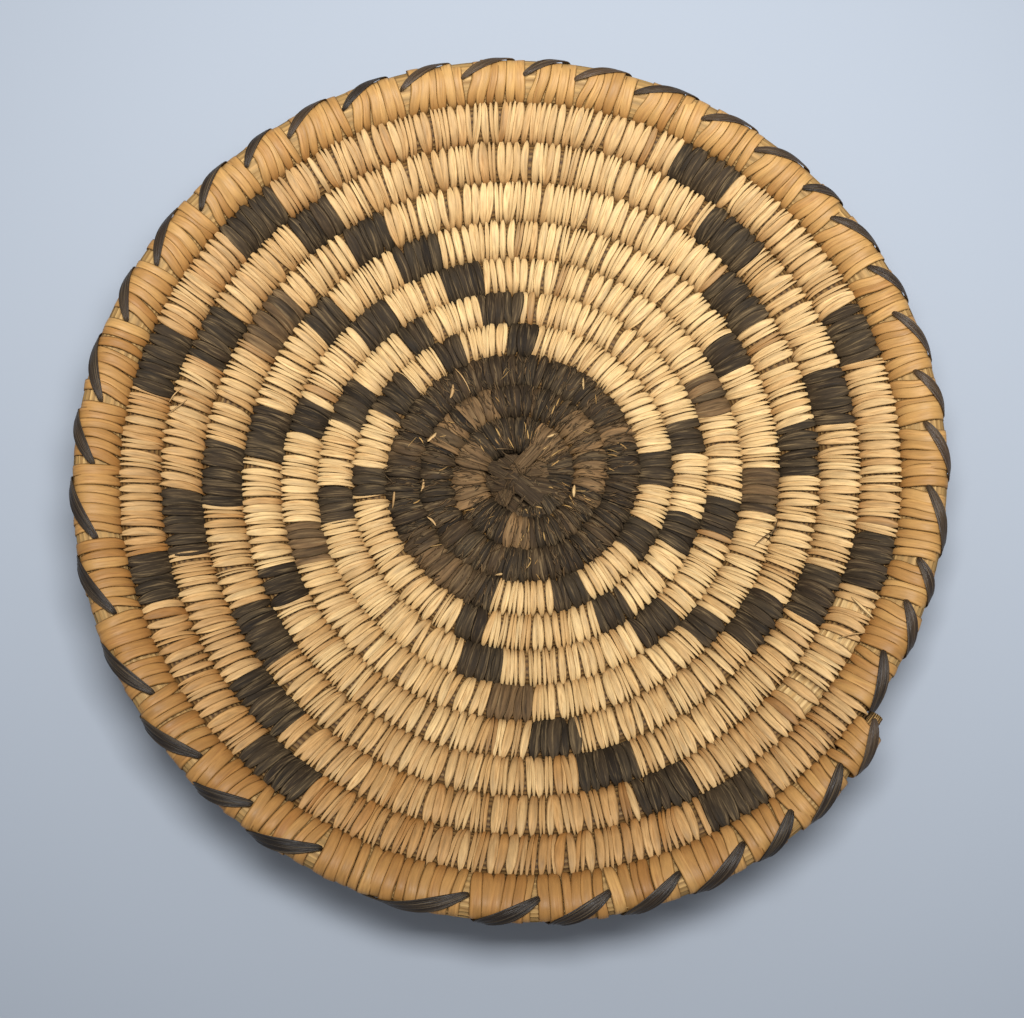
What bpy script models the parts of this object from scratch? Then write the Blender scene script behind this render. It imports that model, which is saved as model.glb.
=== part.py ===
"""A coiled basket: a shallow round tray sewn from one long spiral of grass.

A bundle of bear grass winds outwards from a small plaited start. Split leaves are sewn round it,
and each turn's stitches catch the turn inside it. Light stitching makes the ground. Dark stitching
makes the middle and eight arms that whirl outwards, one block a turn. The last turn is the rim:
its stitches stand in groups, and between them a dark strand goes through awl holes and is whipped
over the edge.

Angles are in degrees along the coil. They keep growing from turn to turn, so the same place on the
next turn out is 360 higher. Lengths are in metres and +Z is up. The origin is the middle of the
start's underside, on the table.
"""

import math

import bmesh
import bpy
from mathutils import Vector

MM = 0.001
TURN = 360.0
GAP = 0.3 * MM

# The spiral, as the radius of a turn's outer edge. It grows by ROW_PITCH a turn at the rim. The
# coil leaves the start on one side, so the spiral's centre lies beside the start's.
SPIRAL_CENTRE = Vector((1.6, 0.9, 0.0)) * MM
RIM_RADIUS = 99.0 * MM
RIM_ANGLE = 3971.5
ROW_PITCH = 8.44 * MM
ROW_PITCH_SLOPE = -0.154 * MM
ROW_PITCH_CURVE = -0.0143 * MM
COIL_START = 225.0
COIL_OPENING = 60.0
DARK_START = 262.0
BUNDLE_START = 300.0
SEWING_START = 1337.7
RIM_START = 3922.2
COIL_END = 4282.2
STATIONS_PER_TURN = 20

# The bowl: a flat base, then a wall that curves up.
FLAT_RADIUS = 50.0 * MM
WALL_RISE = 22.0 * MM
WALL_POWER = 1.25

# The coil's section, with stitches round a bundle.
COIL_THICKNESS = 6.6 * MM
START_THICKNESS = 3.6 * MM
THICKENING_TURNS = 1.25
END_TAPER_ANGLE = 40.0
END_NARROWING = 3.5 * MM
SHOULDER = 0.6
SKIN = 0.9 * MM
BUNDLE_SHARE = 0.42
ROOM_LEAD = 2.0
BUNDLE_TIP_ANGLE = 2.6
BUNDLE_TIP_SHARE = 0.45
CATCH_WIDTH = 0.6 * MM
CATCH_DEPTH = 1.3 * MM
CATCH_BASE = 0.4 * MM
CATCH_HEIGHT = 1.2 * MM

# Stitches: their pitch along the coil grows from the first light turn to the rim. The dark
# splints are fuller, and push the light ones back a little at each end of a block.
DARK_SPREAD = 0.45 * MM
INNER_PITCH = 1.8 * MM
INNER_PITCH_RADIUS = 31.0 * MM
OUTER_PITCH = 2.2 * MM
OUTER_PITCH_RADIUS = 98.0 * MM
RIM_PITCH = 2.55 * MM

# The weaver's chart. A row is one turn, as stitches of light and dark in turn for the eight arms.
CHART = (
    (8, 4, 8, 4, 6, 4, 25, 3, 7, 3, 6, 5, 8, 3, 22, 3),
    (15, 4, 10, 4, 9, 4, 29, 5, 8, 3, 9, 5, 9, 4, 25, 5),
    (18, 5, 12, 4, 12, 5, 34, 5, 8, 5, 11, 4, 12, 5, 29, 5),
    (22, 3, 15, 5, 14, 4, 41, 5, 10, 4, 12, 6, 14, 4, 35, 5),
    (23, 6, 16, 6, 14, 7, 45, 5, 10, 7, 13, 7, 13, 7, 38, 6),
    (26, 6, 18, 6, 17, 7, 48, 5, 13, 6, 16, 7, 16, 7, 40, 6),
    (29, 6, 21, 6, 20, 7, 50, 7, 13, 7, 19, 5, 19, 7, 43, 6),
)
ARMS = 8

# Rim stitches between one awl hole and the next. The strand misses one of the holes.
RIM_GROUPS = (5, 5, 4, 7, 6, 5, 6, 5, 6, 4, 6, 6, 7, 6, 5, 6, 6, 6, 6, 5,
              6, 7, 6, 8, 6, 7, 7, 8, 7, 6, 7, 6, 7, 6, 6, 6, 6, 5, 6, 4)
MISSED_HOLE = 31
AWL_SHARE = 0.2
AWL_BACK = 0.6 * MM
AWL_POINT = 1.0 * MM
AWL_WIDTH = 2.8 * MM
AWL_REACH = 7.0 * MM
STRAND_WIDTH = 2.3 * MM
PINCHED_WIDTH = 1.4 * MM
STRAND_THICKNESS = 0.6 * MM
STRAND_LIFT = 1.25 * MM
STRAND_LEAN = 10.0

# One wrap of the strand, up through a hole and over the rim to the next hole: how far along it is,
# its place as shares of the coil's half width and half height, and the way it stands off there.
WRAP = (
    (0.0, AWL_SHARE, -1.0, 0.0, -1.0),
    (0.0, AWL_SHARE, 1.0, 0.0, 1.0),
    (0.36, SHOULDER, 1.0, 0.6, 1.0),
    (0.5, 1.0, 0.0, 1.2, 0.0),
    (0.64, SHOULDER, -1.0, 1.0, -1.2),
)

# The plaited start.
START_RADIUS = 7.6 * MM
SPLINT_WIDTH = 2.6 * MM
SPLINT_PITCH = 3.9 * MM
SPLINT_THICKNESS = 1.0 * MM
SPLINT_LAND = 1.5 * MM
START_TURN = math.radians(38)

LIGHT_YUCCA = ("light_yucca", (0.72, 0.44, 0.17), 0.55)
RIM_YUCCA = ("rim_yucca", (0.65, 0.32, 0.085), 0.42)
DARK_CLAW = ("dark_devils_claw", (0.033, 0.030, 0.026), 0.6)
BLACK_CLAW = ("black_devils_claw", (0.027, 0.020, 0.017), 0.35)
BEAR_GRASS = ("bear_grass", (0.42, 0.36, 0.24), 0.7)


def clear_scene():
    """Removes what the scene starts with."""
    for item in list(bpy.data.objects):
        bpy.data.objects.remove(item)


def make_material(recipe):
    """A plain Principled material, made once for each recipe."""
    name, colour, roughness = recipe
    known = bpy.data.materials.get(name)
    if known:
        return known
    material = bpy.data.materials.new(name)
    material.use_nodes = True
    shader = material.node_tree.nodes["Principled BSDF"]
    shader.inputs["Base Color"].default_value = (*colour, 1.0)
    shader.inputs["Roughness"].default_value = roughness
    shader.inputs["Metallic"].default_value = 0.0
    return material


def make_mesh(name, bm):
    """Turns a finished bmesh into a mesh with its faces out."""
    bmesh.ops.recalc_face_normals(bm, faces=bm.faces)
    mesh = bpy.data.meshes.new(name)
    bm.to_mesh(mesh)
    bm.free()
    return mesh


def place(name, mesh, recipe):
    """Adds a sub-part to the scene."""
    piece = bpy.data.objects.new(name, mesh)
    bpy.context.scene.collection.objects.link(piece)
    if not mesh.materials:
        mesh.materials.append(make_material(recipe))
    return piece


def make_helper(name, bm):
    """A shape that only cuts or joins others."""
    helper = bpy.data.objects.new(name, make_mesh(name, bm))
    bpy.context.scene.collection.objects.link(helper)
    helper.hide_render = True
    helper.display_type = "WIRE"
    return helper


def add_boolean(piece, helper, operation):
    """Cuts or joins a sub-part with a helper."""
    boolean = piece.modifiers.new(helper.name, "BOOLEAN")
    boolean.operation = operation
    boolean.solver = "EXACT"
    boolean.object = helper


def start_edge_radius(angle):
    """Distance from the spiral's centre to the round edge of the start."""
    azimuth = math.radians(angle)
    towards = -SPIRAL_CENTRE.dot(Vector((math.cos(azimuth), math.sin(azimuth), 0.0)))
    return towards + math.sqrt(START_RADIUS**2 - SPIRAL_CENTRE.length_squared + towards**2)


def edge_radius(angle):
    """Radius of the line between the turn at this angle and the next turn out."""
    turns = (angle - RIM_ANGLE) / TURN
    growth = ROW_PITCH * turns + ROW_PITCH_SLOPE * turns**2 + ROW_PITCH_CURVE * turns**3
    opening = min(1.0, max(0.0, (angle - COIL_START) / COIL_OPENING))
    if opening == 1.0:
        return RIM_RADIUS + growth
    start = start_edge_radius(angle)
    return start + (RIM_RADIUS + growth - start) * opening


def wall_rise(radius):
    """Height of the bowl's wall above its flat base."""
    share = max(0.0, radius - FLAT_RADIUS) / (RIM_RADIUS - FLAT_RADIUS)
    return WALL_RISE * share**WALL_POWER


def coil_thickness(angle):
    """The coil starts thin round the plaited start, and thickens in its first turns."""
    growth = min(1.0, (angle - DARK_START) / TURN / THICKENING_TURNS)
    return START_THICKNESS + (COIL_THICKNESS - START_THICKNESS) * growth


def section(angle):
    """The coil's middle, its outward, upward and forward directions, and its half sizes."""
    azimuth = math.radians(angle)
    radial = Vector((math.cos(azimuth), math.sin(azimuth), 0.0))
    forward = Vector((-math.sin(azimuth), math.cos(azimuth), 0.0))
    thickness = coil_thickness(angle)
    inner_radius = edge_radius(angle - TURN)
    end_taper = max(0.0, 1.0 - (COIL_END - angle) / END_TAPER_ANGLE)
    outer_radius = edge_radius(angle) - END_NARROWING * end_taper**2
    inner = SPIRAL_CENTRE + radial * inner_radius
    inner.z = wall_rise(inner_radius) + thickness / 2
    outer = SPIRAL_CENTRE + radial * outer_radius
    outer.z = wall_rise(outer_radius) + thickness / 2
    outward = (outer - inner).normalized()
    upward = outward.cross(forward)
    half_width = ((outer - inner).length - GAP) / 2
    return (inner + outer) / 2, outward, upward, forward, half_width, thickness / 2


def skin_outline(half_width, half_height):
    """Turns meet at the bottom, and leave a groove between their tops."""
    shoulder = SHOULDER * half_width
    return [(shoulder, half_height), (-shoulder, half_height),
            (-half_width, -half_height), (half_width, -half_height)]


def rim_outline(half_width, half_height):
    """The last turn has a full outer side, with no turn beyond it."""
    shoulder = SHOULDER * half_width
    return [(half_width, 0), (shoulder, half_height), (-shoulder, half_height),
            (-half_width, -half_height), (shoulder, -half_height)]


def bundle_outline(half_width, half_height):
    """The grass bundle inside the stitches."""
    across = BUNDLE_SHARE * half_width
    up = half_height - SKIN - GAP
    return [(across, up), (-across, up), (-across, -up), (across, -up)]


def bundle_tip_outline(half_width, half_height):
    """The bundle's cut end, gathered to a point."""
    return [(across * BUNDLE_TIP_SHARE, up * BUNDLE_TIP_SHARE)
            for across, up in bundle_outline(half_width, half_height)]


def room_outline(half_width, half_height):
    """The room for the bundle inside the stitching."""
    across = BUNDLE_SHARE * half_width + GAP
    up = half_height - SKIN
    return [(across, up), (-across, up), (-across, -up), (across, -up)]


def station_ring(angle, outline):
    """An outline's points round the coil at one station."""
    middle, outward, upward, _, half_width, half_height = section(angle)
    return [middle + outward * across + upward * up
            for across, up in outline(half_width, half_height)]


def ring(angle, outline):
    """An outline at any angle, on the straight run between the stations on each side of it.

    Every turn bends at the same stations, so neighbours keep the same gap all the way.
    """
    step = TURN / STATIONS_PER_TURN
    before = math.floor(angle / step) * step
    share = (angle - before) / step
    near = station_ring(before, outline)
    far = station_ring(before + step, outline)
    return [a.lerp(b, share) for a, b in zip(near, far)]


def on_coil(angle, across, up, off=(0.0, 0.0)):
    """A point given as shares of the section's half sizes, and a length off from there."""
    return ring(angle, lambda half_width, half_height: [
        (across * half_width + off[0], up * half_height + off[1])])[0]


def angles_between(start, end):
    """The two ends of a stretch, and the stations between them."""
    step = TURN / STATIONS_PER_TURN
    clear = 0.04 * step
    first = math.floor(start / step) + 1
    last = math.ceil(end / step)
    inside = [n * step for n in range(first, last) if start + clear < n * step < end - clear]
    return [start, *inside, end]


def add_bar(bm, rings):
    """Extrudes a ring of edges through the others, and closes the two ends."""
    points = [bm.verts.new(point) for point in rings[0]]
    edges = [bm.edges.new(pair) for pair in zip(points, points[1:] + points[:1])]
    first = edges
    for targets in rings[1:]:
        made = bmesh.ops.extrude_edge_only(bm, edges=edges)["geom"]
        fresh = {item for item in made if isinstance(item, bmesh.types.BMVert)}
        ahead = []
        for point, target in zip(points, targets):
            sides = [edge.other_vert(point) for edge in point.link_edges]
            moved = next(other for other in sides if other in fresh)
            moved.co = target
            ahead.append(moved)
        edges = [bm.edges.get(pair) for pair in zip(ahead, ahead[1:] + ahead[:1])]
        points = ahead
    for end in (first, edges):
        bmesh.ops.contextual_create(bm, geom=end)


def add_stretch(bm, start, end, outline):
    """A solid length of the coil's spiral with this outline."""
    add_bar(bm, [ring(angle, outline) for angle in angles_between(start, end)])


def add_catch(bm, angle):
    """A three-sided thread where a stitch of the next turn out catches this turn's edge."""
    reach = angle_of(CATCH_WIDTH / 2, angle)
    top = CATCH_BASE + CATCH_HEIGHT
    corners = [(angle - reach, CATCH_BASE), (angle + reach, CATCH_BASE), (angle, top)]
    add_bar(bm, [[on_coil(along, 1.0, -1.0, (off, up)) for along, up in corners]
                 for off in (-CATCH_DEPTH, GAP + CATCH_DEPTH)])


def angle_of(length, angle):
    """A short length along the coil at this angle, in degrees."""
    return math.degrees(length / (section(angle)[0] - SPIRAL_CENTRE).xy.length)


def make_bundle_room():
    """One helper that hollows all the stitching, with room for the bundle."""
    bm = bmesh.new()
    add_stretch(bm, BUNDLE_START - ROOM_LEAD, COIL_END + ROOM_LEAD, room_outline)
    return make_helper("bundle_room", bm)


def make_sewing(name, stretches, recipe, room, outline=skin_outline, spread=0.0):
    """Stitching round the bundle, joined where each turn catches the one inside it."""
    short = GAP / 2 - spread
    bm = bmesh.new()
    for start, end in stretches:
        ends = (start + angle_of(short, start), end - angle_of(short, end))
        add_stretch(bm, *ends, outline)
    piece = place(name, make_mesh(name, bm), recipe)
    if len(stretches) > 1:
        bm = bmesh.new()
        for inner, outer in zip(stretches, stretches[1:]):
            start = max(inner[0], outer[0] - TURN)
            end = min(inner[1], outer[1] - TURN)
            add_catch(bm, (start + end) / 2)
        add_boolean(piece, make_helper(name + "_catches", bm), "UNION")
    add_boolean(piece, room, "DIFFERENCE")
    return piece


def stitch_angle(angle, pitch=None):
    """How far one stitch goes along the coil."""
    radius = (edge_radius(angle) + edge_radius(angle - TURN)) / 2
    if pitch is None:
        share = (radius - INNER_PITCH_RADIUS) / (OUTER_PITCH_RADIUS - INNER_PITCH_RADIUS)
        pitch = INNER_PITCH + (OUTER_PITCH - INNER_PITCH) * share
    return math.degrees(pitch / radius)


def read_chart():
    """Walks the chart stitch by stitch, and returns each arm's and each field's stretches."""
    arms = [[] for _ in range(ARMS)]
    fields = [[] for _ in range(ARMS)]
    angle = SEWING_START
    for row in CHART:
        for column, count in enumerate(row):
            start = angle
            for _ in range(count):
                angle += stitch_angle(angle)
            arm = column // 2
            stretches = arms[arm] if column % 2 else fields[arm]
            stretches.append((start, angle))
    fields[0].append((angle, RIM_START))
    return arms, fields


def hole_angles():
    """The awl holes between the groups of rim stitches."""
    angles = []
    angle = RIM_START
    for count in RIM_GROUPS:
        for _ in range(count):
            angle += stitch_angle(angle, RIM_PITCH)
        angles.append(angle)
    return angles


def make_awl_holes(angles):
    """One helper with a wedge through the coil at each hole, pointing to the basket's middle."""
    bm = bmesh.new()
    for angle in angles:
        _, outward, upward, forward, _, _ = section(angle)
        middle = on_coil(angle, AWL_SHARE, 0.0)
        back = middle + outward * AWL_BACK
        half = forward * AWL_WIDTH / 2
        corners = [back + half, back - half, middle - outward * AWL_POINT]
        add_bar(bm, [[corner + upward * reach for corner in corners]
                     for reach in (-AWL_REACH, AWL_REACH)])
    return make_helper("awl_holes", bm)


def make_foundation(awl_holes):
    """The grass bundle: one spiral from the start to the rim's end, where its tip shows."""
    angles = angles_between(BUNDLE_START, COIL_END)
    rings = [ring(angle, bundle_outline) for angle in angles]
    rings.append(ring(COIL_END + BUNDLE_TIP_ANGLE, bundle_tip_outline))
    bm = bmesh.new()
    add_bar(bm, rings)
    piece = place("foundation_coil", make_mesh("foundation_coil", bm), BEAR_GRASS)
    add_boolean(piece, awl_holes, "DIFFERENCE")


def strand_path(angles):
    """The whipped strand's path over the rim: its place, the side that faces out, and in a hole
    the way that its width lies."""
    path = []
    backwards = [angle for n, angle in enumerate(angles) if n != MISSED_HOLE][::-1]
    for angle, following in zip(backwards, backwards[1:] + [None]):
        for share, across, up, out_off, up_off in WRAP:
            in_hole = share == 0.0
            if following is None and not in_hole:
                break
            here = angle if in_hole else angle - share * min(angle - following, STRAND_LEAN)
            off = (out_off * STRAND_LIFT, up_off * STRAND_LIFT)
            _, outward, upward, forward, _, _ = section(here)
            side = (outward * (out_off - in_hole) + upward * up_off).normalized()
            path.append((on_coil(here, across, up, off), side, forward if in_hole else None))
    return path


def make_overcast(angles):
    """A dark strand with a ridged back, whipped over the rim once for each awl hole."""
    path = strand_path(angles)
    rings = []
    for n, (point, side, forward) in enumerate(path):
        before = path[max(0, n - 1)][0]
        after = path[min(len(path) - 1, n + 1)][0]
        across = (after - before).cross(side).normalized()
        half = across * STRAND_WIDTH / 2
        if forward:
            half = forward * math.copysign(PINCHED_WIDTH / 2, across.dot(forward))
        thick = side * STRAND_THICKNESS / 2
        rings.append([point + thick, point - half - thick, point + half - thick])
    bm = bmesh.new()
    add_bar(bm, rings)
    place("rim_overcast", make_mesh("rim_overcast", bm), BLACK_CLAW)


def make_rim(room, awl_holes):
    """The last turn's stitching, pierced between its groups."""
    stretch = (RIM_START, COIL_END)
    piece = make_sewing("rim_stitching", [stretch], RIM_YUCCA, room, rim_outline)
    add_boolean(piece, awl_holes, "DIFFERENCE")


def make_splint(name, offset, first_side):
    """One splint of the plaited start, over and under the three that cross it."""
    corner = abs(offset) + SPLINT_WIDTH / 2
    reach = math.sqrt((START_RADIUS - GAP) ** 2 - corner**2)
    lift = (SPLINT_THICKNESS + GAP) / 2
    stops = [(-reach, -first_side)]
    for n, side in zip((-1, 0, 1), (first_side, -first_side, first_side)):
        stops += [(n * SPLINT_PITCH - SPLINT_LAND, side), (n * SPLINT_PITCH + SPLINT_LAND, side)]
    stops = [stop for stop in stops if abs(stop[0]) < reach or stop[0] == -reach]
    stops[0] = (-reach, stops[1][1])
    stops.append((reach, stops[-1][1]))
    rings = []
    for along, side in stops:
        height = SPLINT_THICKNESS / 2 + lift * (1 + side)
        rings.append([Vector((along, wide * SPLINT_WIDTH / 2, height + high * SPLINT_THICKNESS / 2))
                      for wide, high in ((1, 1), (-1, 1), (-1, -1), (1, -1))])
    bm = bmesh.new()
    add_bar(bm, rings)
    return make_mesh(name, bm)


def make_start():
    """Three splints each way, plaited over and under, that the coil grows from."""
    start = bpy.data.objects.new("plaited_start", None)
    bpy.context.scene.collection.objects.link(start)
    start.rotation_euler.z = START_TURN
    count = 0
    for quarter in (0, 1):
        for row in (-1, 0, 1):
            count += 1
            name = f"start_splint_{count}"
            offset = row * SPLINT_PITCH
            side = (1 if row else -1) * (1 if quarter else -1)
            piece = place(name, make_splint(name, offset, side), DARK_CLAW)
            piece.parent = start
            piece.rotation_euler.z = quarter * math.pi / 2
            shift = Vector((0.0, offset, 0.0))
            shift.rotate(piece.rotation_euler)
            piece.location = shift


def build():
    """Builds the basket from the middle outwards."""
    clear_scene()
    make_start()
    angles = hole_angles()
    awl_holes = make_awl_holes(angles)
    room = make_bundle_room()
    make_foundation(awl_holes)
    ends = [DARK_START, SEWING_START - 2 * TURN, SEWING_START - TURN, SEWING_START]
    for n, stretch in enumerate(zip(ends, ends[1:]), start=1):
        make_sewing(f"centre_turn_{n}", [stretch], DARK_CLAW, room)
    arms, fields = read_chart()
    for n in range(ARMS):
        make_sewing(f"light_field_{n + 1}", fields[n], LIGHT_YUCCA, room, spread=-DARK_SPREAD)
        make_sewing(f"whirl_arm_{n + 1}", arms[n], DARK_CLAW, room, spread=DARK_SPREAD)
    make_rim(room, awl_holes)
    make_overcast(angles)


build()
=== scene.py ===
"""The looks of a coiled basket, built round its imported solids.

The tray is sewn from one long spiral of grass. Every stitch is modelled here: a split leaf or a
split seed pod, bent once round the bundle, with its foot set between two stitches of the turn
inside it. The chart of light and dark stitches is walked along the same spiral as in the solids.
The lines along a splint are drawn a few times coarser than real fibres, so that they show.

Angles are in degrees along the coil, and keep growing from turn to turn. Lengths are in metres.
"""

import logging
import math
from collections.abc import Sequence
from dataclasses import dataclass, field, replace
from enum import Enum

import bmesh
import bpy
import numpy as np
from mathutils import Matrix, Vector


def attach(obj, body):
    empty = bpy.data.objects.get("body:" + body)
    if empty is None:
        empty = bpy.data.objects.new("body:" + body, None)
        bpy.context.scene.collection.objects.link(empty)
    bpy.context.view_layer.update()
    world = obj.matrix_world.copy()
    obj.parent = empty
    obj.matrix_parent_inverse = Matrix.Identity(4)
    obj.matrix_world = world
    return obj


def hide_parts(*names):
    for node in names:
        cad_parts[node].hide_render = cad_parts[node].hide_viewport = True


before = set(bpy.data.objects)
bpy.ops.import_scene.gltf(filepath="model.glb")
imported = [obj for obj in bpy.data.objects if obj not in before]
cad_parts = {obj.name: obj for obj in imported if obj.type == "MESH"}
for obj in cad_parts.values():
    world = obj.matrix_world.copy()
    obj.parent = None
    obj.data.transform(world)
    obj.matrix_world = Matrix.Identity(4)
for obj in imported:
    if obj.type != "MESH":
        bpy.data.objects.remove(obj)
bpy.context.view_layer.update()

LOG = logging.getLogger("coiled_basket")
MM = 0.001
TURN = 360.0
SEED = 8
UP = np.array([0.0, 0.0, 1.0])


class Fibre(Enum):
    """The plant that a piece is made of, by its slot in the record."""

    LIGHT_YUCCA = "light_yucca"
    RIM_YUCCA = "rim_yucca"
    DARK_CLAW = "dark_devils_claw"
    BLACK_CLAW = "black_devils_claw"
    BEAR_GRASS = "bear_grass"


def linear(code: str) -> tuple[float, float, float, float]:
    """Turns an sRGB hex colour into a linear one.

    Args:
        code: six hex digits after a hash sign.

    Returns:
        Red, green, blue and an alpha of 1.
    """
    shares = [int(code[at:at + 2], 16) / 255 for at in (1, 3, 5)]
    return (*(s / 12.92 if s <= 0.04045 else ((s + 0.055) / 1.055) ** 2.4 for s in shares), 1.0)


def add_node(tree: bpy.types.NodeTree, kind: str, inputs: dict | None = None,
             **settings: object) -> bpy.types.Node:
    """Adds a node, with its settings, values and links.

    Args:
        tree: the node tree that it goes into.
        kind: the node's type name.
        inputs: a value or another node's output socket for each input, by its name or number.
        **settings: the node's own properties.

    Returns:
        The new node.
    """
    node = tree.nodes.new(kind)
    for name, value in settings.items():
        setattr(node, name, value)
    for name, value in (inputs or {}).items():
        if isinstance(value, bpy.types.NodeSocket):
            tree.links.new(value, node.inputs[name])
        else:
            node.inputs[name].default_value = value
    return node


def limited(value: np.ndarray | float) -> np.ndarray | float:
    """The value, held between 0 and 1."""
    return np.clip(value, 0.0, 1.0)


def drawn(draw: np.random.Generator, mean: float, spread: float, high: float = 1.0) -> float:
    """A random number around a mean, held between 0 and the highest one."""
    return float(np.clip(draw.normal(mean, spread), 0.0, high))


def unit(ways: np.ndarray) -> np.ndarray:
    """The directions, each made one long."""
    return ways / np.linalg.norm(ways, axis=-1, keepdims=True)


@dataclass(frozen=True)
class SplintFinish:
    """A split of leaf or pod, with fibres that run along it.

    The piece's UV map runs along the splint and across it, in metres. Its attribute "tone" holds
    each stitch's tone, its warmth, its share of brown and a number that sets its fibres apart. Tone,
    warmth and brown carry painted light and shade as well as the fibre's own colour.
    """

    name: str
    pale: str
    deep: str
    warm: str
    streak: str
    brown: str
    fibre_width: float
    fibre_length: float
    streak_share: float
    contrast: float
    roughness: float
    sheen_spread: float
    gloss: float
    relief: float
    strand_width: float = 1.9
    strand_length: float = 1.2
    line_from: float = 0.52
    line_to: float = 0.72
    noise_from: float = 0.3
    noise_to: float = 0.7
    set_apart: float = 97.0

    def material(self) -> bpy.types.Material:
        """Makes the node material.

        Returns:
            The material, with its fibres along the piece's UV map.
        """
        made = bpy.data.materials.new(self.name)
        made.use_nodes = True
        tree = made.node_tree
        shader = tree.nodes["Principled BSDF"]
        uv = add_node(tree, "ShaderNodeUVMap", uv_map="splint")
        place = add_node(tree, "ShaderNodeSeparateXYZ", {0: uv.outputs[0]})
        kind = add_node(tree, "ShaderNodeAttribute", attribute_name="tone")
        shares = add_node(tree, "ShaderNodeSeparateColor", {0: kind.outputs["Color"]})
        tone, warmth, brown = (shares.outputs[n] for n in range(3))
        apart = add_node(tree, "ShaderNodeMath", {
            0: kind.outputs["Alpha"], 1: self.set_apart}, operation="MULTIPLY")

        def fibres(width: float, length: float, detail: float) -> bpy.types.NodeSocket:
            """Adds noise drawn out along the splint.

            Args:
                width: a fibre's width in metres.
                length: how far it runs in metres.
                detail: the noise's detail.

            Returns:
                The noise, from 0 to 1.
            """
            along = add_node(tree, "ShaderNodeMath", {0: place.outputs[0], 1: 1 / length},
                             operation="MULTIPLY")
            across = add_node(tree, "ShaderNodeMath", {0: place.outputs[1], 1: 1 / width},
                              operation="MULTIPLY")
            point = add_node(tree, "ShaderNodeCombineXYZ", {
                0: along.outputs[0], 1: across.outputs[0], 2: apart.outputs[0]})
            noise = add_node(tree, "ShaderNodeTexNoise", {
                "Vector": point.outputs[0], "Scale": 1.0, "Detail": detail, "Roughness": 0.6})
            return noise.outputs[0]

        fine = fibres(self.fibre_width, self.fibre_length, 3.0)
        strands = fibres(self.fibre_width * self.strand_width,
                         self.fibre_length * self.strand_length, 4.0)
        line = add_node(tree, "ShaderNodeMapRange", {
            0: fine, 1: self.line_from, 2: self.line_to, 3: 0.0, 4: self.streak_share})
        colour = linear(self.deep)
        for share, code in ((tone, self.pale), (warmth, self.warm), (brown, self.brown),
                            (line.outputs[0], self.streak)):
            mix = add_node(tree, "ShaderNodeMix", {0: share, 6: colour, 7: linear(code)},
                           data_type="RGBA")
            colour = mix.outputs[2]
        shading = add_node(tree, "ShaderNodeMapRange", {
            0: strands, 1: self.noise_from, 2: self.noise_to, 3: 1 - self.contrast,
            4: 1 + self.contrast})
        shaded = add_node(tree, "ShaderNodeVectorMath", {
            0: colour, 1: shading.outputs[0]}, operation="MULTIPLY")
        tree.links.new(shaded.outputs[0], shader.inputs["Base Color"])
        gloss = add_node(tree, "ShaderNodeMapRange", {
            0: fine, 1: self.noise_from, 2: self.noise_to,
            3: self.roughness - self.sheen_spread, 4: self.roughness + self.sheen_spread})
        tree.links.new(gloss.outputs[0], shader.inputs["Roughness"])
        bump = add_node(tree, "ShaderNodeBump", {
            "Height": fine, "Strength": 1.0, "Distance": self.relief})
        tree.links.new(bump.outputs[0], shader.inputs["Normal"])
        shader.inputs["Specular IOR Level"].default_value = self.gloss
        return made


# Yucca leaf is split, scraped and dried, which leaves a smooth satin skin with faint lines along
# it. It ages from cream to tan. The rim's yucca is broader, glossier and more orange from handling.
# Devil's claw is the skin of a seed pod, peeled off in strips: matte charcoal, with hair-fine fibres
# that catch the light. The strand over the rim is rubbed to a low gloss. Bear grass is split and
# dried: straw-tan stems, with painted shade in the grooves between them. Besides real stains, the
# brown colours paint shade at the stitches' feet and edges and on the bundle under the stitches.
FINISHES = {
    Fibre.LIGHT_YUCCA: SplintFinish(
        name="split_yucca_leaf", pale="#E0BD84", deep="#9C6C3A", warm="#A87434", streak="#8A5E2E",
        brown="#7C4E20", fibre_width=0.34 * MM, fibre_length=4.5 * MM, streak_share=0.65,
        contrast=0.36, roughness=0.58, sheen_spread=0.1, gloss=0.25, relief=0.14 * MM),
    Fibre.RIM_YUCCA: SplintFinish(
        name="split_yucca_leaf_orange", pale="#E0B470", deep="#9A6A36", warm="#96682F",
        streak="#7E522A", brown="#6A4420", fibre_width=0.36 * MM, fibre_length=6.0 * MM,
        streak_share=0.55, contrast=0.22, roughness=0.5, sheen_spread=0.1, gloss=0.26,
        relief=0.14 * MM),
    Fibre.DARK_CLAW: SplintFinish(
        name="split_devils_claw_pod", pale="#483B29", deep="#241B10", warm="#453422",
        streak="#86704F", brown="#7E603E", fibre_width=0.25 * MM, fibre_length=5.0 * MM,
        streak_share=0.6, contrast=0.6, roughness=0.72, sheen_spread=0.1, gloss=0.2,
        relief=0.25 * MM),
    Fibre.BLACK_CLAW: SplintFinish(
        name="split_devils_claw_pod_glossy", pale="#221A13", deep="#0E0A08", warm="#5C442B",
        streak="#8C7654", brown="#4E3824", fibre_width=0.25 * MM, fibre_length=14.0 * MM,
        streak_share=0.55, contrast=0.6, roughness=0.42, sheen_spread=0.14, gloss=0.35,
        relief=0.16 * MM),
    Fibre.BEAR_GRASS: SplintFinish(
        name="bear_grass_stems", pale="#D0A868", deep="#AC7E42", warm="#F6D294", streak="#7A5426",
        brown="#42290F", fibre_width=0.4 * MM, fibre_length=9.0 * MM, streak_share=0.6,
        contrast=0.25, roughness=0.65, sheen_spread=0.1, gloss=0.3, relief=0.1 * MM),
}


@dataclass(frozen=True)
class Section:
    """The coil's middle at some angles, its directions there and its half sizes."""

    middle: np.ndarray
    outward: np.ndarray
    upward: np.ndarray
    half_width: np.ndarray
    half_height: np.ndarray


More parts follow.
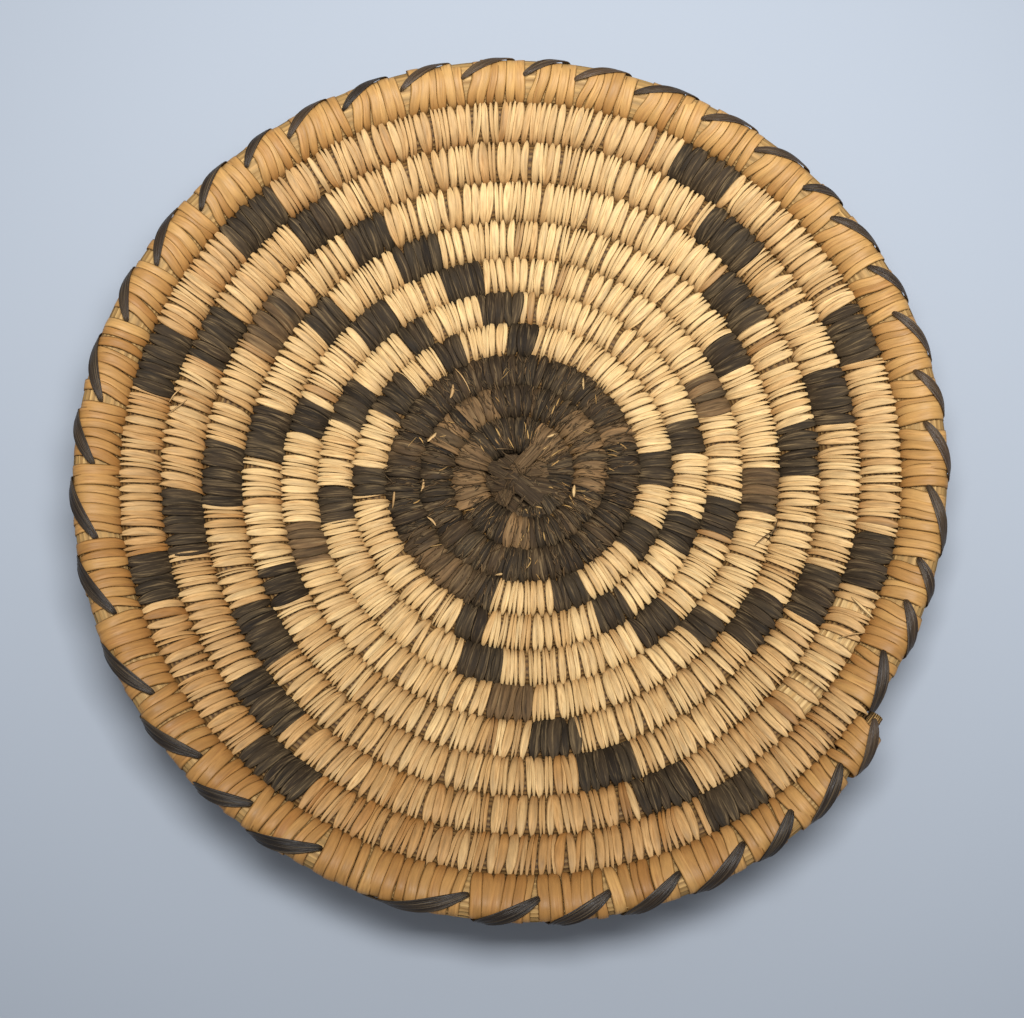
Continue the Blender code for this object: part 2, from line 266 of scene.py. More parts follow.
@dataclass(frozen=True)
class Coil:
    """The spiral of the sewn bundle, with the driving sizes of the solids."""

    centre: tuple[float, float] = (1.6 * MM, 0.9 * MM)
    rim_radius: float = 99.0 * MM
    rim_angle: float = 3971.5
    row_pitch: float = 8.44 * MM
    row_pitch_slope: float = -0.154 * MM
    row_pitch_curve: float = -0.0143 * MM
    start: float = 225.0
    opening: float = 60.0
    start_radius: float = 7.6 * MM
    dark_start: float = 262.0
    sewing_start: float = 1337.7
    rim_start: float = 3922.2
    end: float = 4282.2
    flat_radius: float = 50.0 * MM
    rise: float = 22.0 * MM
    rise_power: float = 1.25
    thickness: float = 6.6 * MM
    start_thickness: float = 3.6 * MM
    thickening_turns: float = 1.25
    end_taper: float = 40.0
    end_narrowing: float = 3.5 * MM

    def edge_radius(self, angle: np.ndarray) -> np.ndarray:
        """Radius of the line between the turn at these angles and the next turn out.

        Args:
            angle: degrees along the coil.

        Returns:
            The radius in metres at each of them.
        """
        turns = (angle - self.rim_angle) / TURN
        spiral = (self.rim_radius + self.row_pitch * turns + self.row_pitch_slope * turns**2
                  + self.row_pitch_curve * turns**3)
        azimuth = np.radians(angle)
        towards = -(self.centre[0] * np.cos(azimuth) + self.centre[1] * np.sin(azimuth))
        aside = self.start_radius**2 - self.centre[0]**2 - self.centre[1]**2
        start = towards + np.sqrt(aside + towards**2)
        opening = limited((angle - self.start) / self.opening)
        return start + (spiral - start) * opening

    def wall_rise(self, radius: np.ndarray) -> np.ndarray:
        """Height of the bowl's wall above its flat base."""
        share = np.maximum(0.0, radius - self.flat_radius) / (self.rim_radius - self.flat_radius)
        return self.rise * share**self.rise_power

    def section(self, angle: np.ndarray) -> Section:
        """The coil's section at some angles.

        Args:
            angle: degrees along the coil, in an array of any shape.

        Returns:
            The section at each of them.
        """
        angle = np.asarray(angle, float)
        azimuth = np.radians(angle)
        radial = np.stack([np.cos(azimuth), np.sin(azimuth), np.zeros_like(azimuth)], -1)
        forward = np.stack([-np.sin(azimuth), np.cos(azimuth), np.zeros_like(azimuth)], -1)
        growth = np.minimum(1.0, (angle - self.dark_start) / TURN / self.thickening_turns)
        thickness = self.start_thickness + (self.thickness - self.start_thickness) * growth
        inner_radius = self.edge_radius(angle - TURN)
        taper = np.maximum(0.0, 1.0 - (self.end - angle) / self.end_taper)
        outer_radius = self.edge_radius(angle) - self.end_narrowing * taper**2
        centre = np.array([*self.centre, 0.0])
        inner, outer = (centre + radial * radius[..., None]
                        + UP * (self.wall_rise(radius) + thickness / 2)[..., None]
                        for radius in (inner_radius, outer_radius))
        width = np.linalg.norm(outer - inner, axis=-1)
        outward = (outer - inner) / width[..., None]
        upward = np.cross(outward, forward)
        return Section((inner + outer) / 2, outward, upward, width / 2, thickness / 2)

    def place(self, angle: np.ndarray, across: np.ndarray, up: np.ndarray) -> np.ndarray:
        """Points in the coil's own space, as points of the basket.

        Args:
            angle: degrees along the coil.
            across: metres outwards from the section's middle.
            up: metres upwards from it.

        Returns:
            The points, with their coordinates last.
        """
        at = self.section(angle)
        return at.middle + at.outward * across[..., None] + at.upward * up[..., None]

    def radius(self, angle: float) -> float:
        """Radius of the middle of the turn at this angle."""
        return float(self.edge_radius(angle) + self.edge_radius(angle - TURN)) / 2

    def degrees(self, length: float, angle: float) -> float:
        """A short length along the coil at this angle, in degrees."""
        return math.degrees(length / self.radius(angle))


@dataclass
class Stitch:
    """One stitch: a splint bent once round the coil."""

    angle: float
    width: float
    lean: float = 0.0
    tip: float = 0.0
    foot: float = 0.0
    bow: float = 0.0
    roll: float = 0.0
    proud: float = 0.0
    reach: float = 0.0
    tone: float = 0.5
    warmth: float = 0.0
    brown: float = 0.0
    low: float = 0.0
    high: float = 0.0
    low_give: float = 1.0
    high_give: float = 1.0


@dataclass
class Run:
    """Stitches of one fibre, one after another."""

    node: str
    fibre: Fibre
    start: float
    end: float
    count: int
    brown: bool = False
    low_give: float = 1.0
    high_give: float = 1.0
    stitches: list[Stitch] = field(default_factory=list)


@dataclass(frozen=True)
class Patch:
    """A stretch of the dark middle where the splints are browner or paler."""

    start: float
    end: float
    brown: float
    tone: float


@dataclass
class Weaver:
    """Walks the weaver's chart along the coil, and sets each stitch.

    A row of the chart is one turn, as stitches of light and dark in turn for the eight arms. The
    rim's groups are counted between its awl holes. Each of LEAN_WAVES is a share of the lean that
    comes and goes along the coil, and the degrees that one radian of its wave takes.
    """

    coil: Coil
    inner_pitch: float = 1.8 * MM
    inner_pitch_radius: float = 31.0 * MM
    outer_pitch: float = 2.2 * MM
    outer_pitch_radius: float = 98.0 * MM
    rim_pitch: float = 2.55 * MM
    dark_spread: float = 0.45 * MM
    lean: float = 0.9 * MM
    foot_pull: float = 0.8
    rim_foot_pull: float = 0.35
    lean_waves: tuple[tuple[float, float], ...] = ((0.45, 33.7034), (0.3, 11.0))
    wander: float = 0.13
    tip_wander: float = 0.22
    split_share: float = 0.35
    stained_share: float = 0.012
    light_tone: float = 0.93
    edge_tone_loss: float = 1.35
    edge_from: float = 0.58
    # Painted shade: light stitches are darker and warmer towards this side of the tray, most on the
    # outer turns.
    painted_shade_side: float = 235.0
    painted_shade_tone_loss: float = 0.14
    rim_tone: float = 0.33
    # Painted light: rim stitches are lighter towards this side of the tray and darker away from it.
    rim_painted_light_side: float = 65.0
    rim_painted_light_swing: float = 0.14
    middle_tone_loss: float = 0.25
    patch_brown: float = 0.85
    chart: tuple = (
        (8, 4, 8, 4, 6, 4, 25, 3, 7, 3, 6, 5, 8, 3, 22, 3),
        (15, 4, 10, 4, 9, 4, 29, 5, 8, 3, 9, 5, 9, 4, 25, 5),
        (18, 5, 12, 4, 12, 5, 34, 5, 8, 5, 11, 4, 12, 5, 29, 5),
        (22, 3, 15, 5, 14, 4, 41, 5, 10, 4, 12, 6, 14, 4, 35, 5),
        (23, 6, 16, 6, 14, 7, 45, 5, 10, 7, 13, 7, 13, 7, 38, 6),
        (26, 6, 18, 6, 17, 7, 48, 5, 13, 6, 16, 7, 16, 7, 40, 6),
        (29, 6, 21, 6, 20, 7, 50, 7, 13, 7, 19, 5, 19, 7, 43, 6),
    )
    brown_blocks: tuple = ((1, 3), (2, 2), (4, 4), (6, 2), (7, 2))
    rim_groups: tuple = (5, 5, 4, 7, 6, 5, 6, 5, 6, 4, 6, 6, 7, 6, 5, 6, 6, 6, 6, 5,
                         6, 7, 6, 8, 6, 7, 7, 8, 7, 6, 7, 6, 7, 6, 6, 6, 6, 5, 6, 5)
    missed_hole: int = 31
    missed_give: float = 0.3
    patches: tuple[Patch, ...] = (
        Patch(386, 428, 0.75, 0.6), Patch(508, 552, 0.6, 0.4), Patch(552, 578, 1.0, 0.9),
        Patch(618, 641, 0.85, 0.6), Patch(690, 703, 0.6, 0.5), Patch(709, 727, 0.9, 0.7),
        Patch(733, 772, 0.9, 0.7), Patch(832, 856, 0.75, 0.5), Patch(860, 882, 0.9, 0.6),
        Patch(1098, 1113, 0.8, 0.6), Patch(1296, 1322, 0.6, 0.4))
    worn: tuple[tuple[float, float], ...] = (
        (3556.9, 3557.8), (3559.8, 3560.7), (3568.5, 3569.5), (3574.4, 3575.5))

    def pitch_angle(self, angle: float, pitch: float | None = None) -> float:
        """How far one stitch goes along the coil, in degrees.

        Args:
            angle: where it is.
            pitch: its pitch, or None for that of the patterned turns.

        Returns:
            The stitch's pitch in degrees.
        """
        if pitch is None:
            share = ((self.coil.radius(angle) - self.inner_pitch_radius)
                     / (self.outer_pitch_radius - self.inner_pitch_radius))
            pitch = self.inner_pitch + (self.outer_pitch - self.inner_pitch) * share
        return self.coil.degrees(pitch, angle)

    def count_between(self, start: float, end: float) -> int:
        """The number of stitches that fit between two angles.

        Args:
            start: where the first one begins.
            end: where the last one ends.

        Returns:
            How many there are.
        """
        angle, count = start, 0
        while angle < end:
            angle += self.pitch_angle(angle)
            count += 1
        return count

    def centre_runs(self) -> list[Run]:
        """The dark turns in the middle.

        Returns:
            A run for each turn.
        """
        coil = self.coil
        ends = [coil.dark_start, *(coil.sewing_start - TURN * n for n in (2, 1, 0))]
        return [Run(f"centre_turn_{n + 1}", Fibre.DARK_CLAW, start, end,
                    self.count_between(start, end))
                for n, (start, end) in enumerate(zip(ends, ends[1:]))]

    def chart_runs(self) -> list[Run]:
        """The patterned turns, read from the chart, and the light lead to the rim.

        Returns:
            A run for each block, in the order of sewing.
        """
        runs = []
        angle = self.coil.sewing_start
        for row, counts in enumerate(self.chart):
            for column, count in enumerate(counts):
                start = angle
                for _ in range(count):
                    angle += self.pitch_angle(angle)
                arm = column // 2
                if column % 2:
                    runs.append(Run(f"whirl_arm_{arm + 1}", Fibre.DARK_CLAW, start, angle, count,
                                    brown=(arm, row) in self.brown_blocks))
                else:
                    runs.append(Run(f"light_field_{arm + 1}", Fibre.LIGHT_YUCCA, start, angle,
                                    count))
        lead = self.count_between(angle, self.coil.rim_start)
        runs.append(Run("light_field_1", Fibre.LIGHT_YUCCA, angle, self.coil.rim_start, lead))
        return runs

    def rim_runs(self) -> list[Run]:
        """The rim's groups, each from one awl hole to the next.

        Returns:
            A run for each group.
        """
        runs = []
        angle = self.coil.rim_start
        for group, count in enumerate(self.rim_groups):
            start = angle
            for _ in range(count):
                angle += self.pitch_angle(angle, self.rim_pitch)
            run = Run("rim_stitching", Fibre.RIM_YUCCA, start, angle, count)
            if group == self.missed_hole:
                run.high_give = self.missed_give
            if group == self.missed_hole + 1:
                run.low_give = self.missed_give
            runs.append(run)
        return runs

    def sew(self) -> list[Run]:
        """Sets every stitch of the basket, from the middle to the rim.

        Returns:
            The runs in the order of sewing, with their stitches.
        """
        draw = np.random.default_rng(SEED)
        runs = self.centre_runs() + self.chart_runs() + self.rim_runs()
        for before, after in zip(runs, runs[1:]):
            spread = self.coil.degrees(self.dark_spread, after.start)
            if before.fibre is Fibre.DARK_CLAW and after.fibre is Fibre.LIGHT_YUCCA:
                before.end = after.start = after.start + spread
            elif before.fibre is Fibre.LIGHT_YUCCA and after.fibre is Fibre.DARK_CLAW:
                before.end = after.start = after.start - spread
        tips: list[float] = []
        for run in runs:
            step = (run.end - run.start) / run.count
            for n in range(run.count):
                angle = run.start + (n + 0.5 + draw.uniform(-self.wander, self.wander)) * step
                stitch = self.set_stitch(run, angle, step, tips, draw)
                tips.append(angle - stitch.lean + stitch.tip)
                if any(start < angle < end for start, end in self.worn):
                    continue
                run.stitches += self.split(stitch, run, draw)
        return runs

    def set_stitch(self, run: Run, angle: float, step: float, tips: list[float],
                   draw: np.random.Generator) -> Stitch:
        """Sets one stitch, with its foot in a gap of the turn inside.

        Args:
            run: the run that it belongs to.
            angle: where its middle is.
            step: its pitch in degrees.
            tips: the angles of the tips of all the stitches sewn so far.
            draw: the seeded source of random numbers.

        Returns:
            The stitch.
        """
        on_rim = run.fibre is Fibre.RIM_YUCCA
        slant = 1.0 + sum(share * math.sin(angle / wave) for share, wave in self.lean_waves)
        lean = 0.0 if on_rim else self.coil.degrees(self.lean * slant, angle) / 2
        stitch = Stitch(angle, step, lean, low=run.start, high=run.end, low_give=run.low_give,
                        high_give=run.high_give)
        stitch.tip = draw.uniform(-self.tip_wander, self.tip_wander) * step
        pull = self.rim_foot_pull if on_rim else self.foot_pull
        stitch.foot = self.foot_shift(angle + lean, tips) * pull
        self.vary(stitch, run, draw)
        return stitch

    def split(self, stitch: Stitch, run: Run, draw: np.random.Generator) -> list[Stitch]:
        """Now and then parts a stitch in two, where the splint has split along its fibres.

        Args:
            stitch: the stitch.
            run: the run that it belongs to.
            draw: the seeded source of random numbers.

        Returns:
            The stitch, or its two halves.
        """
        if run.fibre is not Fibre.LIGHT_YUCCA or draw.random() > self.split_share:
            return [stitch]
        halves = []
        for side in (-1, 1):
            opening = draw.uniform(0.0, 0.08) * stitch.width
            halves.append(replace(
                stitch, angle=stitch.angle + side * stitch.width * draw.uniform(0.2, 0.27),
                width=stitch.width * draw.uniform(0.45, 0.58), lean=stitch.lean - side * opening,
                proud=stitch.proud + draw.normal(0.0, 0.05) * MM,
                tone=drawn(draw, stitch.tone, 0.08)))
        return halves

    def foot_shift(self, wanted: float, tips: list[float]) -> float:
        """How far a stitch's foot lies from the nearest gap in the turn inside.

        Args:
            wanted: the angle where the foot would be.
            tips: the angles of the tips of all the stitches sewn so far.

        Returns:
            The way to the gap in degrees.
        """
        after = int(np.searchsorted(tips, wanted - TURN))
        if after == 0 or after >= len(tips):
            return 0.0
        return (tips[after - 1] + tips[after]) / 2 + TURN - wanted

    def vary(self, stitch: Stitch, run: Run, draw: np.random.Generator) -> None:
        """Gives a stitch its own width, set and colour, with painted light and shade by its side of
        the tray.

        Args:
            stitch: the stitch.
            run: the run that it belongs to.
            draw: the seeded source of random numbers.
        """
        out = self.coil.radius(stitch.angle) / self.outer_pitch_radius
        # How far the stitch lies towards the side given painted shade, more so further out.
        side = math.cos(math.radians(stitch.angle - self.painted_shade_side)) * out
        stitch.width *= draw.normal(1.0, 0.1)
        stitch.bow = draw.normal(0.0, 0.1)
        stitch.roll = draw.normal(0.0, 0.5)
        stitch.proud = draw.normal(0.0, 0.08) * MM
        stitch.reach = draw.normal(0.0, 0.22) * MM
        if run.fibre is Fibre.LIGHT_YUCCA:
            edge = self.edge_tone_loss * max(0.0, out - self.edge_from)
            # Painted shade lowers the tone and adds warmth towards that side.
            stitch.tone = drawn(draw, self.light_tone - edge - self.painted_shade_tone_loss * side, 0.1)
            stitch.warmth = drawn(draw, 0.1 + 0.1 * side, 0.12, 0.6)
            stitch.brown = 0.6 * (draw.random() < self.stained_share)
        elif run.fibre is Fibre.RIM_YUCCA:
            # Painted light: lighter towards one side of the tray.
            painted_light = math.cos(math.radians(stitch.angle - self.rim_painted_light_side))
            stitch.tone = drawn(draw, self.rim_tone + self.rim_painted_light_swing * painted_light, 0.1)
            stitch.warmth = drawn(draw, 0.1, 0.07, 0.5)
        else:
            stitch.tone = drawn(draw, 0.4, 0.22)
            stitch.warmth = drawn(draw, 0.1, 0.12, 0.5)
            stitch.brown = drawn(draw, 0.5, 0.25) if run.brown else 0.0
            if stitch.angle < self.coil.sewing_start:
                self.vary_middle(stitch, draw)

    def vary_middle(self, stitch: Stitch, draw: np.random.Generator) -> None:
        """The dark middle is rougher work, with browner stretches.

        Args:
            stitch: the stitch.
            draw: the seeded source of random numbers.
        """
        stitch.width *= draw.uniform(0.8, 1.35)
        stitch.proud += draw.normal(0.05, 0.12) * MM
        stitch.reach += draw.normal(0.1, 0.4) * MM
        stitch.roll += draw.normal(0.0, 0.7)
        stitch.brown = drawn(draw, 0.0, 0.12, 0.4)
        stitch.tone = max(0.0, stitch.tone - self.middle_tone_loss)
        for patch in self.patches:
            if patch.start < stitch.angle < patch.end:
                stitch.brown = drawn(draw, patch.brown * self.patch_brown, 0.22)
                stitch.tone = drawn(draw, patch.tone, 0.25)


def each(stitches: list[Stitch], *names: str) -> list[np.ndarray]:
    """The stitches' values of these names, each as a column."""
    return [np.array([getattr(stitch, name) for stitch in stitches])[:, None] for name in names]


def rounded(turn: np.ndarray, fullness: np.ndarray | float) -> tuple[np.ndarray, np.ndarray]:
    """Places round a rounded section.

    Args:
        turn: how far round each one is, in radians, from 0 at the outer side.
        fullness: 2 for an ellipse, and more for a squarer section.

    Returns:
        How far out each place is and how far up, both from -1 to 1.
    """
    side, lift = (np.sign(part) * np.abs(part)**(2.0 / fullness)
                  for part in (np.cos(turn), np.sin(turn)))
    return side, lift


def facing(side: np.ndarray, lift: np.ndarray, fullness: np.ndarray | float,
           at: Section) -> tuple[np.ndarray, np.ndarray]:
    """The direction in which a rounded section faces at some places.

    Args:
        side: how far out each place is, from -1 to 1.
        lift: how far up each place is, from -1 to 1.
        fullness: 2 for an ellipse, and more for a squarer section.
        at: the section, of which the half sizes are read.

    Returns:
        The direction's part outwards and its part upwards.
    """
    out, up = (np.sign(part) * np.abs(part)**(fullness - 1.0) / half
               for part, half in ((side, at.half_width), (lift, at.half_height)))
    steep = np.hypot(out, up)
    return out / steep, up / steep


def mesh_from(bm: bmesh.types.BMesh, name: str) -> bpy.types.Mesh:
    """Turns a bmesh into a mesh, and frees it.

    Args:
        bm: the bmesh.
        name: the mesh's name.

    Returns:
        The mesh.
    """
    mesh = bpy.data.meshes.new(name)
    bm.to_mesh(mesh)
    bm.free()
    return mesh


@dataclass(frozen=True)
class Splint:
    """A splint bent once round the coil, as a ring of a few dozen faces.

    The ring is made in a space of its own: its radius is 1, it lies round the Y axis, and Y runs
    from -1 to 1 across the splint. THICK metres of thickness are one unit there. LEAF is its width
    at the places LEAF_AT, from its foot at -1 to its tip at 1.
    """

    segments: int = 14
    crown: float = 0.22 * MM
    shoulder: float = 0.7
    swell: float = 1.04
    fullness: float = 2.1
    outer_fullness: float = 2.5
    underside: float = 0.65 * MM
    lowest: float = 0.1 * MM
    bite: float = 0.6 * MM
    outer_bite: float = 1.15 * MM
    fill: float = 1.42
    leaf_at: tuple = (-1.0, -0.8, -0.45, 0.35, 0.72, 0.9, 1.0)
    leaf: tuple = (0.42, 0.68, 0.94, 1.0, 0.78, 0.32, 0.05)
    thick: float = 10.0 * MM
    roll_height: float = 0.25 * MM
    length: float = 25.0 * MM
    # Painted shade and some dirt at the foot, painted shade at the edges and a painted highlight at
    # the tip:
    foot_painted_shade: float = -0.45
    foot_shade_and_dirt: float = 0.3
    edge_painted_shade: float = 0.35
    tip_painted_highlight: float = 0.2

    def template(self) -> bpy.types.Mesh:
        """Spins the splint's section into a ring, with its UV map."""
        bm = bmesh.new()
        outline = [(-1.0, 0.0), (-self.shoulder, self.crown), (self.shoulder, self.crown),
                   (1.0, 0.0)]
        points = [bm.verts.new((1.0 + out / self.thick, across, 0.0)) for across, out in outline]
        edges = [bm.edges.new(pair) for pair in zip(points, points[1:] + points[:1])]
        bmesh.ops.spin(bm, geom=points + edges, cent=(0, 0, 0), axis=(0, 1, 0),
                       angle=math.tau, steps=self.segments, use_merge=True)
        bmesh.ops.recalc_face_normals(bm, faces=bm.faces)
        layer = bm.loops.layers.uv.new("splint")
        for face in bm.faces:
            face.smooth = True
            middle = face.calc_center_median()
            there = math.atan2(middle.z, middle.x)
            for loop in face.loops:
                turned = math.atan2(loop.vert.co.z, loop.vert.co.x)
                turned = there + (turned - there + math.pi) % math.tau - math.pi
                loop[layer].uv = (turned / math.tau * self.length, loop.vert.co.y * MM)
        return mesh_from(bm, "splint_ring")

    def sides(self, ring: np.ndarray) -> tuple[np.ndarray, np.ndarray, np.ndarray]:
        """Each ring point's place round the coil's rounded section.

        Args:
            ring: the points of the ring in its own space.

        Returns:
            How far out it is and how far up, both from -1 to 1, and the section's fullness.
        """
        turned = np.arctan2(ring[:, 2], ring[:, 0])
        fullness = np.where(np.cos(turned) > 0, self.outer_fullness, self.fullness)
        return *rounded(turned, fullness), fullness

    def lay(self, coil: Coil, stitches: list[Stitch], ring: np.ndarray) -> np.ndarray:
        """Bends one ring round the coil for each stitch.

        Args:
            coil: the coil that it goes round.
            stitches: the stitches.
            ring: the points of the ring in its own space.

        Returns:
            The basket's points, stitch by stitch.
        """
        angle, tip, foot, lean, width, bow, roll, proud, reach = each(
            stitches, "angle", "tip", "foot", "lean", "width", "bow", "roll", "proud", "reach")
        side, lift, fullness = (part[None, :] for part in self.sides(ring))
        across = ring[None, :, 1]
        line = angle + np.where(side > 0, tip * side, foot * np.abs(side)**1.5)
        line = line - lean * side + bow * width * (1.0 - side**2)
        half = width * self.fill / 2 * np.interp(side, self.leaf_at, self.leaf)
        angle = self.gather(coil, stitches, line, side) + across * half
        out = (np.hypot(ring[:, 0], ring[:, 2]) - 1.0)[None, :] * self.thick
        out = out + proud + across * roll * self.roll_height
        at = coil.section(angle)
        bent = replace(
            at, half_width=at.half_width + np.where(side > 0, self.outer_bite, self.bite),
            half_height=np.where(lift > 0, at.half_height * self.swell,
                                 at.half_height - self.underside))
        faces_out, faces_up = facing(side, lift, fullness, bent)
        x = side * bent.half_width + np.maximum(side, 0.0)**4 * reach + out * faces_out
        placed = coil.place(angle, x, lift * bent.half_height + out * faces_up)
        placed[..., 2] = np.maximum(placed[..., 2], self.lowest)
        return placed

    def shares(self, stitches: list[Stitch], ring: np.ndarray,
               draw: np.random.Generator) -> list[np.ndarray]:
        """Tone, warmth, brown and fibre number of each point: painted shade and dirt at the foot,
        painted shade at the edges, a painted highlight at the tip.

        Args:
            stitches: the stitches.
            ring: the points of the ring in its own space.
            draw: the seeded source of random numbers.

        Returns:
            Four arrays with a number for each point, stitch by stitch.
        """
        side = self.sides(ring)[0][None, :]
        foot, tip = limited(-side)**2, limited(side)**2
        edge = np.abs(ring[None, :, 1]) > 0.99
        tone, warmth, brown = each(stitches, "tone", "warmth", "brown")
        # Painted shade darkens the foot, and a painted highlight lightens the tip.
        tone = tone + self.foot_painted_shade * foot + self.tip_painted_highlight * tip
        # Painted shade and dirt brown the foot, and painted shade browns the edges between stitches.
        brown = brown + self.foot_shade_and_dirt * foot + self.edge_painted_shade * edge
        number = draw.random(len(stitches))[:, None]
        return [part.ravel() for part in np.broadcast_arrays(
            limited(tone), warmth, limited(brown), number)]

    def gather(self, coil: Coil, stitches: list[Stitch], line: np.ndarray,
               side: np.ndarray) -> np.ndarray:
        """Where each point of the splint's middle line goes along the coil."""
        return line


@dataclass(frozen=True)
class RimSplint(Splint):
    """A broad, flat splint of the rim, pushed aside by the strand in the awl holes."""

    crown: float = 0.26 * MM
    shoulder: float = 0.78
    outer_bite: float = 0.8 * MM
    outer_fullness: float = 2.2
    fill: float = 1.4
    leaf_at: tuple = (-1.0, -0.85, -0.5, 0.0, 1.0)
    leaf: tuple = (0.35, 0.7, 0.95, 0.92, 0.9)
    # Less painted shade at the foot, and no painted highlight at the tip:
    foot_painted_shade: float = -0.35
    tip_painted_highlight: float = 0.0
    low_part: float = 0.5 * MM
    high_part: float = 2.3 * MM
    far_part: float = 0.9 * MM
    hole_share: float = 0.33
    margin: float = 0.06

    def gather(self, coil: Coil, stitches: list[Stitch], line: np.ndarray,
               side: np.ndarray) -> np.ndarray:
        """Draws the group's ends together outwards of the holes, most at the back of the tray.

        Args:
            coil: the coil that it goes round.
            stitches: the stitches.
            line: the angle of each point of their middle lines.
            side: how far out each point is, from -1 to 1.

        Returns:
            The new angle of each point.
        """
        low, high, low_give, high_give = each(stitches, "low", "high", "low_give", "high_give")
        radius = np.array([coil.radius(stitch.angle) for stitch in stitches])[:, None]
        out = limited((side + 1.0) / (1.0 + self.hole_share))**1.5
        low_part = np.degrees(self.low_part / radius) * out * low_give
        wide = self.high_part + self.far_part * np.sin(np.radians(high))
        high_part = np.degrees(wide / radius) * out * high_give
        share = (line - low) / (high - low)
        held = np.clip(share, self.margin, 1.0 - self.margin)
        share = share + (held - share) * (side > -0.5)
        return low + low_part + share * (high - low - low_part - high_part)


def dress(piece: bpy.types.Object, fibre: Fibre, replaced: list[str], levels: int = 0) -> None:
    """Finishes a piece: its material, smoothing, body and the nodes that it stands for.

    Args:
        piece: the piece.
        fibre: what it is made of.
        replaced: the solids that it stands for.
        levels: how often its faces are subdivided.
    """
    material = bpy.data.materials.get(FINISHES[fibre].name) or FINISHES[fibre].material()
    piece.data.materials.append(material)
    if levels:
        smooth = piece.modifiers.new("smooth", "SUBSURF")
        smooth.levels = smooth.render_levels = levels
    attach(piece, "root")
    if replaced:
        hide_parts(*replaced)
    LOG.info("%s: %d faces", piece.name, len(piece.data.polygons))


def add_item(name: str, data: bpy.types.ID) -> bpy.types.Object:
    """Puts a mesh, a lamp or a camera into the scene, at the origin.

    Args:
        name: the name of the object and of its data.
        data: the mesh, lamp or camera.

    Returns:
        The object.
    """
    data.name = name
    item = bpy.data.objects.new(name, data)
    bpy.context.scene.collection.objects.link(item)
    return item


def bar(outline: list[tuple[float, float]], steps: int) -> bpy.types.Mesh:
    """A straight closed bar along Y, a unit a step, ready to be bent.

    Args:
        outline: the section's points, as X and Z.
        steps: how many lengths it has.

    Returns:
        The bar, with a UV map "splint" that runs round it and along it, from 0 to 1.
    """
    bm = bmesh.new()
    bm.loops.layers.uv.new("splint")
    sides = len(outline)
    bmesh.ops.create_grid(bm, x_segments=sides, y_segments=steps, size=0.5, calc_uvs=True)
    for point in bm.verts:
        x, z = outline[round((point.co.x + 0.5) * sides) % sides]
        point.co = (x, round((point.co.y + 0.5) * steps), z)
    seam = [point for point in bm.verts if point.is_boundary]
    bmesh.ops.remove_doubles(bm, verts=seam, dist=0.001)
    bmesh.ops.holes_fill(bm, edges=[edge for edge in bm.edges if edge.is_boundary], sides=0)
    bmesh.ops.recalc_face_normals(bm, faces=bm.faces)
    for face in bm.faces:
        face.smooth = True
    return mesh_from(bm, "bar")


def flat(values: np.ndarray) -> np.ndarray:
    """The values one after another, as a mesh takes them."""
    return np.ascontiguousarray(values, np.float32).ravel()


def paint(mesh: bpy.types.Mesh, *shares: np.ndarray | float) -> None:
    """Writes tone, warmth, brown and a fibre number to the mesh's attribute "tone".

    Args:
        mesh: the mesh.
        *shares: the four of them, each with a number for each point or one for the whole mesh.
    """
    whole = np.ones(len(mesh.vertices))
    attribute = mesh.attributes.new("tone", "FLOAT_COLOR", "POINT")
    attribute.data.foreach_set("color", flat(np.stack([share * whole for share in shares], -1)))


def points_of(mesh: bpy.types.Mesh) -> np.ndarray:
    """Reads the mesh's points.

    Args:
        mesh: the mesh.

    Returns:
        The points, with their coordinates last.
    """
    read = np.empty(len(mesh.vertices) * 3, np.float32)
    mesh.vertices.foreach_get("co", read)
    return read.reshape(-1, 3).astype(float)


def move_points(mesh: bpy.types.Mesh, points: np.ndarray) -> None:
    """Moves the mesh's points to new places."""
    mesh.vertices.foreach_set("co", flat(points))
    mesh.update()


def scale_uv(mesh: bpy.types.Mesh, along: float, around: float) -> None:
    """Turns a bar's UV map, from 0 to 1 round it and along it, to metres along and around.

    Args:
        mesh: the bar.
        along: its length in metres.
        around: its girth in metres.
    """
    layer = mesh.uv_layers["splint"]
    read = np.empty(len(layer.data) * 2, np.float32)
    layer.data.foreach_get("uv", read)
    layer.data.foreach_set("uv", flat(read.reshape(-1, 2)[:, ::-1] * (along, around)))


